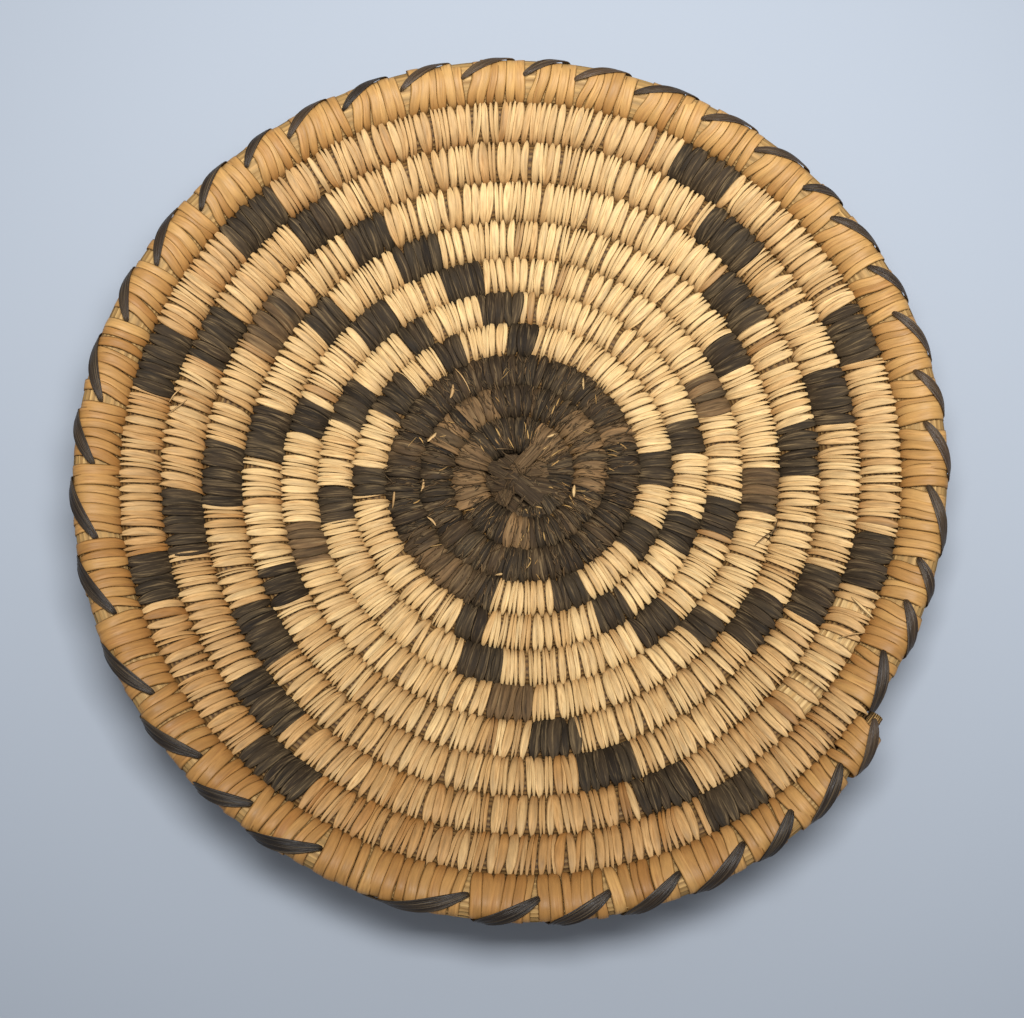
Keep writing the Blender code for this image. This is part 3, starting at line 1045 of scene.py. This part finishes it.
@dataclass
class Sewing:
    """The stitches of every run, one piece for each solid that they replace."""

    coil: Coil
    runs: list[Run]
    splints: dict = field(default_factory=lambda: {
        Fibre.LIGHT_YUCCA: Splint(),
        Fibre.DARK_CLAW: Splint(
            # Dark splints: a slight painted highlight at the tip, and no painted shade:
            fill=1.7, crown=0.09 * MM, shoulder=0.88, foot_painted_shade=0.0, foot_shade_and_dirt=0.0,
            edge_painted_shade=0.0, tip_painted_highlight=0.1, leaf=(0.5, 0.8, 1.0, 1.0, 0.78, 0.4, 0.1)),
        Fibre.RIM_YUCCA: RimSplint(),
    })

    def build(self) -> None:
        """Builds and dresses all the stitching."""
        draw = np.random.default_rng(SEED + 1)
        nodes: dict[str, list[Run]] = {}
        for run in self.runs:
            nodes.setdefault(run.node, []).append(run)
        templates = {fibre: splint.template() for fibre, splint in self.splints.items()}
        for node, runs in nodes.items():
            fibre = runs[0].fibre
            stitches = [stitch for run in runs for stitch in run.stitches]
            mesh = self.mesh(templates[fibre], self.splints[fibre], stitches, draw)
            dress(add_item(node + "_splints", mesh), fibre, [node], levels=1)

    def mesh(self, template: bpy.types.Mesh, splint: Splint, stitches: list[Stitch],
             draw: np.random.Generator) -> bpy.types.Mesh:
        """Copies the ring once for each stitch and bends the copies round the coil.

        Args:
            template: the ring.
            splint: how it is bent.
            stitches: the stitches.
            draw: the seeded source of random numbers.

        Returns:
            One mesh of all these stitches.
        """
        bm = bmesh.new()
        bm.from_mesh(template)
        counts = (len(bm.verts), len(bm.edges), len(bm.faces))
        copies = 1
        while copies < len(stitches):
            more = min(copies, len(stitches) - copies)
            parts = (bm.verts[:], bm.edges[:], bm.faces[:])
            bmesh.ops.duplicate(bm, geom=[
                item for part, count in zip(parts, counts) for item in part[:count * more]])
            copies += more
        mesh = mesh_from(bm, "splints")
        ring = points_of(template)
        move_points(mesh, splint.lay(self.coil, stitches, ring).reshape(-1, 3))
        paint(mesh, *splint.shares(stitches, ring, draw))
        return mesh


@dataclass
class GrassBundle:
    """The foundation: a bundle of grass stems inside the stitches, from the start to the rim."""

    coil: Coil
    worn: tuple[tuple[float, float], ...]
    start: float = 262.0
    stems: int = 20
    step_length: float = 1.6 * MM
    side_gap: float = -0.1 * MM
    rim_fill: float = 0.6 * MM
    top_gap: float = 0.6 * MM
    under_gap: float = 1.1 * MM
    worn_gap: float = 0.15 * MM
    ridge: float = 0.08
    twist: float = 35.0 * MM
    fullness: float = 2.5
    end_short: float = 3.3
    end_taper: float = 9.0
    end_thin: float = 0.5
    tip_length: float = 0.5
    tip_size: float = 0.6
    sway: float = 0.35
    worn_margin: float = 0.6
    worn_slope: float = 4.0
    rim_ramp: float = 5.0
    girth: float = 22.0 * MM
    rim_bare: float = 0.8
    rim_warmth: float = 0.15
    # Painted shade and dirt where the stitches cover the bundle, and painted shade in the grooves
    # between stems:
    covered_shade_and_dirt: float = 0.55
    groove_painted_shade: float = 0.5
    bare_groove_painted_shade: float = 0.35

    def stations(self) -> list[float]:
        """Walks along the coil in even steps, up to the bundle's blunt tip.

        Returns:
            The angles where the bundle bends.
        """
        angles = [self.start]
        while angles[-1] < self.coil.end:
            angles.append(angles[-1] + self.coil.degrees(self.step_length, angles[-1]))
        end = self.coil.end - self.end_short
        return [*angles[:-1], end, end + self.tip_length]

    def build(self) -> None:
        """Bends the ridged bundle along the coil, and colours its stems, with painted shade in the
        grooves and painted shade and dirt under the stitches.
        """
        angles = self.stations()
        steps = len(angles) - 1
        sides = self.stems * 2
        mesh = bar([(math.cos(math.tau * n / sides), math.sin(math.tau * n / sides))
                    for n in range(sides)], steps)
        points = points_of(mesh)
        station = points[:, 1]
        angle = np.interp(station, np.arange(steps + 1), angles)
        number = np.rint(np.arctan2(points[:, 2], points[:, 0]) / math.tau * sides)
        groove = number % 2
        at_tip = station > steps - 0.5
        at = self.coil.section(np.minimum(angle, self.coil.end))
        worn = np.max([limited(self.worn_slope * np.minimum(
            angle - low + self.worn_margin, high + self.worn_margin - angle))
            for low, high in self.worn], axis=0)
        rim = limited((angle - self.coil.rim_start) / self.rim_ramp)
        near_end = limited(1.0 - (angles[-1] - angle) / self.end_taper)
        size = (1.0 - self.ridge * groove) * (1.0 - self.end_thin * near_end)
        size = size * np.where(at_tip, self.tip_size, 1.0)
        sway = self.sway * np.sin(station * self.step_length / self.twist)
        turned = number / sides * math.tau + sway
        side, lift = (part * size for part in rounded(turned, self.fullness))
        gap = np.where(lift > 0, self.top_gap + (self.worn_gap - self.top_gap) * worn,
                       self.under_gap)
        fill = self.rim_fill * rim * (1.0 - near_end)
        x = side * (at.half_width - self.side_gap) + np.maximum(side, 0.0)**3 * fill
        move_points(mesh, self.coil.place(angle, x, lift * (at.half_height - gap)))
        scale_uv(mesh, steps * self.step_length, self.girth)
        bare = np.maximum(rim * self.rim_bare, worn)
        # Painted shade and dirt under the stitches, painted shade in the grooves, both less where
        # the bundle lies bare at the rim and in worn spots.
        dark = (self.groove_painted_shade * groove + self.covered_shade_and_dirt) * (1 - bare)
        dark = (dark + self.bare_groove_painted_shade * groove * bare) * ~at_tip
        straw = 0.5 + 0.35 * np.sin(number * 4.1)
        paint(mesh, 0.5 + 0.4 * np.sin(number * 2.4), self.rim_warmth * rim + straw * worn,
              limited(dark), 0.0)
        dress(add_item("grass_bundle", mesh), Fibre.BEAR_GRASS, ["foundation_coil"])


@dataclass
class Overcast:
    """The dark strand that goes up through each awl hole and over the rim to the next."""

    coil: Coil
    holes: list[float]
    missed: int
    hole_share: float = 0.3
    reach: float = 10.5
    steps: int = 16
    inside: int = 2
    thickness: float = 0.75 * MM
    proud: float = 0.4 * MM
    outer_swell: float = 0.8 * MM
    under_swell: float = 0.2 * MM
    under_gap: float = 0.6 * MM
    over_share: float = 0.8
    hug: float = 1.15
    under_hug: float = 0.8
    fullness: float = 2.2
    hole_back: float = 0.3
    far_thin: float = 0.14
    step_length: float = 1.2 * MM
    girth: float = 6.0 * MM
    warmest: float = 0.6
    warm_mean: float = 0.6
    # Painted light: the wraps are warmer and lighter towards one side of the tray.
    strand_painted_light_swing: float = 0.5
    strand_painted_light_side: float = 45.0
    brown_share: float = 0.25
    # Painted highlight on the crests of the ridges:
    ridge_painted_highlight: float = 0.4
    widths: tuple = (1.2 * MM, 2.8 * MM, 3.5 * MM, 3.5 * MM, 2.9 * MM, 2.2 * MM, 1.8 * MM,
                     1.5 * MM)
    ridges: tuple = ((-1.0, 0.0), (-0.78, 0.75), (-0.55, 0.3), (-0.3, 0.95), (-0.08, 0.45),
                     (0.2, 1.0), (0.42, 0.35), (0.7, 0.8), (1.0, 0.0), (0.0, -0.8))

    def path(self) -> tuple[np.ndarray, np.ndarray, np.ndarray, np.ndarray]:
        """The strand's middle line, wrap by wrap.

        Returns:
            Each point's angle along the coil, its turn round the section, its depth inside the
            bundle as a share, and the strand's width.
        """
        angles, turns, depths, widths = [], [], [], []
        start = math.acos(self.hole_share ** (self.fullness / 2))
        last = len(self.widths) - 1
        kept = [angle + self.hole_back for n, angle in enumerate(self.holes) if n != self.missed]
        kept = kept[::-1]
        for angle, following in zip(kept, kept[1:] + [None]):
            goal = angle - self.reach if following is None else following
            over = self.over_share * min(angle - goal, self.reach)
            for n in range(self.steps + 1):
                share = n / self.steps
                if share < 0.5:
                    run = share * 2 * over
                    turn = start * (1 - share * 2)**self.hug
                else:
                    run = over + (share * 2 - 1) * (angle - goal - over)
                    turn = -start * (share * 2 - 1)**self.under_hug
                angles.append(angle - run)
                turns.append(turn)
                depths.append(0.0)
                widths.append(float(np.interp(share * last, range(last + 1), self.widths))
                              * (1.0 - self.far_thin * math.sin(math.radians(angle))))
            for n in range(self.inside):
                angles.append(goal)
                turns.append(-start)
                depths.append((n + 1) / (self.inside + 1))
                widths.append(self.widths[0])
        return tuple(np.array(values) for values in (angles, turns, depths, widths))

    def build(self) -> None:
        """Bends the strand along its path, and colours each wrap, with painted light towards one
        side and a painted highlight on its ridges.
        """
        angle, turn, depth, width = self.path()
        at = self.coil.section(angle)
        side, lift = rounded(turn, self.fullness)
        lift = lift * (1 - 2 * depth)
        faces_out, faces_up = facing(side, lift, self.fullness, at)
        off = self.proud * (depth <= 0)
        under = limited(-lift)
        swell = self.outer_swell + (self.under_swell - self.outer_swell) * under
        line = self.coil.place(
            angle, side * (at.half_width + swell) + off * faces_out,
            lift * (at.half_height - self.under_gap * under) + off * faces_up)
        ahead = np.gradient(line, axis=0)
        faces = at.outward * faces_out[:, None] + at.upward * faces_up[:, None]
        across = unit(np.cross(ahead, faces))
        normal = unit(np.cross(across, ahead))
        steps = len(angle) - 1
        mesh = bar(list(self.ridges), steps)
        points = points_of(mesh)
        station = np.clip(np.rint(points[:, 1]).astype(int), 0, steps)
        move_points(mesh, line[station]
                    + across[station] * (points[:, 0] * width[station] / 2)[:, None]
                    + normal[station] * (points[:, 2] * self.thickness / 2)[:, None])
        scale_uv(mesh, steps * self.step_length, self.girth)
        draw = np.random.default_rng(SEED + 2)
        wrap = station // (self.steps + 1 + self.inside)
        tone, warmth = (draw.uniform(0.0, high, len(self.holes) + 1)[wrap]
                        for high in (1.0, self.warmest))
        # Painted light: warmer, lighter wraps towards one side of the tray.
        swing = self.strand_painted_light_swing * np.sin(np.radians(angle + self.strand_painted_light_side))
        warmth = warmth * (self.warm_mean + swing[station])
        # Painted highlight: a lighter tone on the ridges' crests.
        tone = tone * (1.0 - self.ridge_painted_highlight) + self.ridge_painted_highlight * limited(points[:, 2])
        paint(mesh, tone, warmth, self.brown_share * warmth, wrap / len(self.holes))
        dress(add_item("rim_strand", mesh), Fibre.BLACK_CLAW, ["rim_overcast"], levels=1)


@dataclass(frozen=True)
class Band:
    """One flat splint of the start: three points of its line from above, in mm, and its look."""

    line: tuple[tuple[float, float, float], ...]
    width: float
    flare: float
    brown: float
    tone: float


@dataclass
class PlaitedStart:
    """Six flat splints, crossed over and under and drawn into a knot at the very middle."""

    thickness: float = 1.9 * MM
    length: float = 16.0 * MM
    steps: int = 16
    ragged: float = 0.5 * MM
    droop: float = 0.4 * MM
    lowest: float = 0.1 * MM
    end_narrowing: float = 0.25
    warmth: float = 0.3
    bands: tuple[Band, ...] = (
        Band(((-6.0, -3.4, 1.2), (-0.6, 1.4, 3.9), (6.8, 9.6, 3.9)), 3.6, 1.3, 0.4, 0.5),
        Band(((1.6, 1.6, 1.6), (-1.4, -2.2, 3.2), (-3.8, -6.6, 3.0)), 3.4, 1.4, 0.3, 0.3),
        Band(((-6.6, 6.2, 0.9), (0.2, 0.2, 0.8), (8.2, -6.6, 0.8)), 18.5, 1.0, 0.15, 0.1),
        Band(((-7.4, 2.9, 2.8), (-2.2, 1.4, 4.0), (8.6, -7.0, 3.2)), 3.8, 2.0, 0.05, 0.25),
        Band(((-7.2, -1.8, 2.6), (-1.4, -1.2, 3.6), (11.5, -3.4, 3.4)), 4.2, 1.8, 0.1, 0.2),
        Band(((-1.4, 0.8, 2.4), (4.6, 2.0, 3.2), (11.0, 3.4, 3.6)), 4.0, 1.8, 0.35, 0.4),
    )
    ridges: tuple = ((-1.0, 0.0), (-0.85, 0.6), (-0.68, 0.25), (-0.45, 0.9), (-0.25, 0.5),
                     (0.0, 1.0), (0.2, 0.45), (0.45, 0.95), (0.65, 0.4), (0.85, 0.65),
                     (1.0, 0.0), (0.0, -0.6))

    def build(self) -> None:
        """Bends each splint along its line."""
        draw = np.random.default_rng(SEED + 3)
        for number, band in enumerate(self.bands, 1):
            mesh = bar(list(self.ridges), self.steps)
            points = points_of(mesh)
            side, share = points[:, :1], points[:, 1:2] / self.steps
            first, middle, last = (np.array(point) * MM for point in band.line)
            bend = 2.0 * middle - (first + last) / 2
            line = (1 - share)**2 * first + 2 * share * (1 - share) * bend + share**2 * last
            ahead = (1 - share) * (bend - first) + share * (last - bend)
            across = unit(np.cross(UP, ahead))
            half = band.width * MM / 2 * (1 + (band.flare - 1) * share**2)
            half = half * (1 - self.end_narrowing * (2 * share - 1)**6)
            ragged = draw.uniform(-1.0, 1.0, len(self.ridges)) * self.ragged
            which = np.rint((side + 1) / 2 * (len(self.ridges) - 1)).astype(int)
            line = line + unit(ahead) * ragged[which] * share**4 + across * side * half
            line = line + UP * (points[:, 2:] * self.thickness / 2 - side**2 * self.droop)
            line[:, 2] = np.maximum(line[:, 2], self.lowest)
            move_points(mesh, line)
            scale_uv(mesh, self.length, band.width * 2 * MM)
            paint(mesh, band.tone, self.warmth, band.brown, draw.random())
            dress(add_item(f"start_splint_{number}_band", mesh), Fibre.DARK_CLAW,
                  [f"start_splint_{number}"], levels=1)


@dataclass(frozen=True)
class Thread:
    """A loose fibre or sliver: where its two ends and its middle lie, and how wide it is."""

    start: tuple[float, float]
    end: tuple[float, float]
    rise: float
    bow: float
    width: float


@dataclass(frozen=True)
class Scatter:
    """Short fibres strewn over a stretch: their count, their slant in degrees and their starts.

    SIDES are the lowest and the highest share of the coil's half width where one starts.
    """

    count: int
    slant: float
    sides: tuple[float, float]


@dataclass
class LooseEnds:
    """Fibres that stand off the stitches, and slivers of pale leaf caught in the dark middle.

    Each place is an angle along the coil and a share of the coil's half width.
    """

    coil: Coil
    steps: int = 8
    pale: tuple[Thread, ...] = (
        Thread((1202.0, 1.2), (842.0, 1.1), 1.0, 0.5, 0.35),
        Thread((3574.0, 1.3), (3576.2, -0.1), 1.2, 0.3, 0.8),
        Thread((3569.0, 0.2), (3571.5, 1.2), 0.9, 0.2, 0.35),
        Thread((904.0, 0.85), (911.0, 1.05), 0.0, 0.3, 0.8),
        Thread((874.0, 0.8), (881.0, 1.1), 0.0, 0.2, 1.2),
        Thread((926.0, 1.1), (933.0, 0.85), 0.0, 0.3, 0.7),
        Thread((411.0, 0.9), (417.0, 0.3), 0.1, 0.1, 0.8),
        Thread((1207.0, 0.2), (1213.0, -0.4), 0.0, 0.2, 1.1),
        Thread((694.0, -0.6), (707.0, -0.9), 0.45, 0.1, 1.0),
        Thread((1134.0, 0.1), (1138.0, 0.8), 0.35, 0.1, 0.7),
        Thread((1268.0, 0.6), (1276.0, 0.9), 0.3, 0.1, 0.7),
        Thread((976.0, 1.0), (982.0, 0.8), 0.3, 0.1, 0.7),
        Thread((3410.0, 0.4), (3413.0, 1.1), 0.9, 0.4, 0.4),
        Thread((3411.5, 1.2), (3408.0, 0.7), 0.7, 0.3, 0.35),
    )
    dark: tuple[Thread, ...] = (
        Thread((2501.0, 0.4), (2506.5, 1.5), 1.1, 0.5, 0.35),
        Thread((2503.0, 0.9), (2508.5, 1.2), 0.8, -0.4, 0.3),
    )
    strays: Scatter = Scatter(70, 4.0, (-1.0, 0.3))
    frayed: Scatter = Scatter(1300, 1.6, (-0.9, 0.7))
    knotted: Scatter = Scatter(60, 25.0, (-3.0, -1.0))
    clearance: float = 0.08 * MM
    crown: float = 1.04
    dip: float = 0.3
    thin_end: float = 0.25
    thickest: float = 0.25 * MM
    length: float = 8.0 * MM
    girth: float = 1.0 * MM

    def build(self) -> None:
        """Builds the pale threads, the tan strays and the frayed fibres of the middle."""
        draw = np.random.default_rng(SEED + 4)
        middle = (self.coil.dark_start, self.coil.sewing_start)
        knot = (self.coil.dark_start, self.coil.dark_start + TURN)
        self.piece("pale_slivers", self.pale, Fibre.LIGHT_YUCCA, 0.1, draw)
        self.piece("tan_strays", self.scattered(self.strays, middle, draw), Fibre.BEAR_GRASS,
                   0.4, draw)
        frayed = (*self.dark, *self.scattered(self.frayed, middle, draw),
                  *self.scattered(self.knotted, knot, draw))
        self.piece("frayed_fibres", frayed, Fibre.DARK_CLAW, 0.6, draw)

    def scattered(self, kind: Scatter, angles: tuple[float, float],
                  draw: np.random.Generator) -> list[Thread]:
        """Short fibres scattered over a stretch of the coil.

        Args:
            kind: how many there are, and how they lie.
            angles: where the stretch begins and ends.
            draw: the seeded source of random numbers.

        Returns:
            The fibres.
        """
        threads = []
        for _ in range(kind.count):
            angle = draw.uniform(*angles)
            side = draw.uniform(*kind.sides)
            end = max(angle + draw.normal(0.0, kind.slant), angles[0])
            threads.append(Thread(
                (angle, side), (end, side + draw.uniform(0.4, 0.8)),
                draw.uniform(0.0, 0.3), draw.normal(0.0, 0.15), draw.uniform(0.12, 0.45)))
        return threads

    def end_of(self, angle: float, side: float) -> np.ndarray:
        """Where a fibre's end lies on the stitches, sunk in where two turns meet.

        Args:
            angle: degrees along the coil.
            side: a share of the coil's half width.

        Returns:
            The point.
        """
        at = self.coil.section(angle)
        height = at.half_height * (self.crown - self.dip * (1 - abs(abs(side) - 1))**3)
        return self.coil.place(angle, side * at.half_width, height + self.clearance)

    def piece(self, name: str, threads: Sequence[Thread], fibre: Fibre, browning: float,
              draw: np.random.Generator) -> None:
        """Makes one piece of several threads.

        Args:
            name: the piece's name.
            threads: its threads.
            fibre: what they are made of.
            browning: the brownest one's share of brown.
            draw: the seeded source of random numbers.
        """
        bm = bmesh.new()
        one = bar([(1.0, 0.0), (0.0, 0.5), (-1.0, 0.0), (0.0, -0.4)], self.steps)
        for _ in threads:
            bm.from_mesh(one)
        mesh = mesh_from(bm, "threads")
        shape = points_of(one)
        share = shape[:, 1:2] / self.steps
        arch = 4 * share * (1 - share)
        placed = []
        for thread in threads:
            start, end = self.end_of(*thread.start), self.end_of(*thread.end)
            across = np.cross(UP, unit(end - start))
            half = thread.width * MM / 2 * (self.thin_end + (1 - self.thin_end) * arch)
            aside = arch * thread.bow * MM + shape[:, :1] * half
            rise = arch * thread.rise * MM + shape[:, 2:] * np.minimum(half, self.thickest)
            placed.append(start + share * (end - start) + across * aside + UP * rise)
        move_points(mesh, np.concatenate(placed))
        scale_uv(mesh, self.length, self.girth)
        tone, brown = (np.repeat(draw.uniform(low, high, len(threads)), len(shape))
                       for low, high in ((0.5, 1.0), (0.0, browning)))
        paint(mesh, tone, 0.0, brown, tone)
        dress(add_item(name, mesh), fibre, [])


@dataclass
class Studio:
    """A pale table, one soft lamp overhead in a pale surround, and the photograph's viewpoint.

    The lamp is turned to the back of the tray, so the front is dimmer. The surround lights it with
    the strength SURROUND, and the camera sees it a little paler, with the strength SURROUND_SEEN.
    """

    distance: float = 380.0 * MM
    tilt: float = 0.2706
    roll: float = -0.0126
    focal_pixels: float = 1537.85
    picture_width: int = 1024
    shift: tuple[float, float] = (9.42, -33.79)
    aim: tuple[float, float, float] = (1.6 * MM, 0.9 * MM, 4.0 * MM)
    sensor: float = 36.0
    table_colour: str = "#A9B1BC"
    table_roughness: float = 0.9
    table_size: float = 6.0
    glow_from: float = 0.22
    glow_to: float = 0.65
    glow: float = 0.95
    lamp_place: tuple[float, float, float] = (0.02, 0.01, 0.45)
    lamp_aim: tuple[float, float, float] = (0.03, 0.49, 0.0)
    lamp_size: float = 0.2
    lamp_power: float = 3.4
    surround_colour: str = "#E6EBF2"
    surround: float = 0.34
    surround_seen: float = 0.75

    def build(self) -> None:
        """Sets up the table, the light and the camera."""
        self.table()
        self.light()
        self.camera()

    def table(self) -> None:
        """A wide flat table top under the basket, evenly pale where the lamp doesn't reach."""
        bm = bmesh.new()
        bmesh.ops.create_grid(bm, x_segments=1, y_segments=1, size=self.table_size / 2)
        mesh = mesh_from(bm, "table_top")
        table = add_item("table_top", mesh)
        made = bpy.data.materials.new("painted_board")
        made.use_nodes = True
        tree = made.node_tree
        shader = tree.nodes["Principled BSDF"]
        place = add_node(tree, "ShaderNodeTexCoord")
        away = add_node(tree, "ShaderNodeVectorMath", {0: place.outputs["Object"]},
                        operation="LENGTH")
        glow = add_node(tree, "ShaderNodeMapRange", {
            0: away.outputs["Value"], 1: self.glow_from, 2: self.glow_to, 3: 0.0, 4: self.glow})
        tree.links.new(glow.outputs[0], shader.inputs["Emission Strength"])
        for name in ("Base Color", "Emission Color"):
            shader.inputs[name].default_value = linear(self.table_colour)
        shader.inputs["Roughness"].default_value = self.table_roughness
        mesh.materials.append(made)

    def light(self) -> None:
        """Sets the lamp and the surround."""
        world = bpy.data.worlds.new("surround")
        bpy.context.scene.world = world
        world.use_nodes = True
        tree = world.node_tree
        shader = tree.nodes["Background"]
        shader.inputs["Color"].default_value = linear(self.surround_colour)
        path = add_node(tree, "ShaderNodeLightPath")
        strength = add_node(tree, "ShaderNodeMapRange", {
            0: path.outputs["Is Camera Ray"], 3: self.surround, 4: self.surround_seen})
        tree.links.new(strength.outputs[0], shader.inputs["Strength"])
        lamp = bpy.data.lights.new("key", "AREA")
        lamp.size = self.lamp_size
        lamp.energy = self.lamp_power
        item = add_item("key", lamp)
        item.location = self.lamp_place
        towards = Vector(self.lamp_place) - Vector(self.lamp_aim)
        item.rotation_euler = towards.to_track_quat("Z", "Y").to_euler()

    def camera(self) -> None:
        """The camera, from above and a little in front."""
        back = Vector((math.sin(self.roll), -math.sin(self.tilt) * math.cos(self.roll),
                       math.cos(self.tilt) * math.cos(self.roll)))
        up = Vector((0.0, 1.0, 0.0))
        up = (up - back * up.dot(back)).normalized()
        right = up.cross(back)
        lens = bpy.data.cameras.new("camera")
        lens.sensor_width = self.sensor
        lens.lens = self.focal_pixels * self.sensor / self.picture_width
        lens.shift_x = -self.shift[0] / self.picture_width
        lens.shift_y = self.shift[1] / self.picture_width
        camera = add_item("camera", lens)
        turned = Matrix((right, up, back)).transposed().to_4x4()
        camera.matrix_world = Matrix.Translation(Vector(self.aim) + back * self.distance) @ turned
        bpy.context.scene.camera = camera


def main() -> None:
    """Builds the basket from the middle outwards, then the table, light and camera."""
    logging.basicConfig(level=logging.INFO, format="%(message)s")
    bpy.context.scene.view_settings.view_transform = "Standard"
    coil = Coil()
    weaver = Weaver(coil)
    runs = weaver.sew()
    PlaitedStart().build()
    GrassBundle(coil, weaver.worn).build()
    Sewing(coil, runs).build()
    holes = [run.end for run in runs if run.fibre is Fibre.RIM_YUCCA]
    Overcast(coil, holes, weaver.missed_hole).build()
    LooseEnds(coil).build()
    Studio().build()


if __name__ == "__main__":
    main()
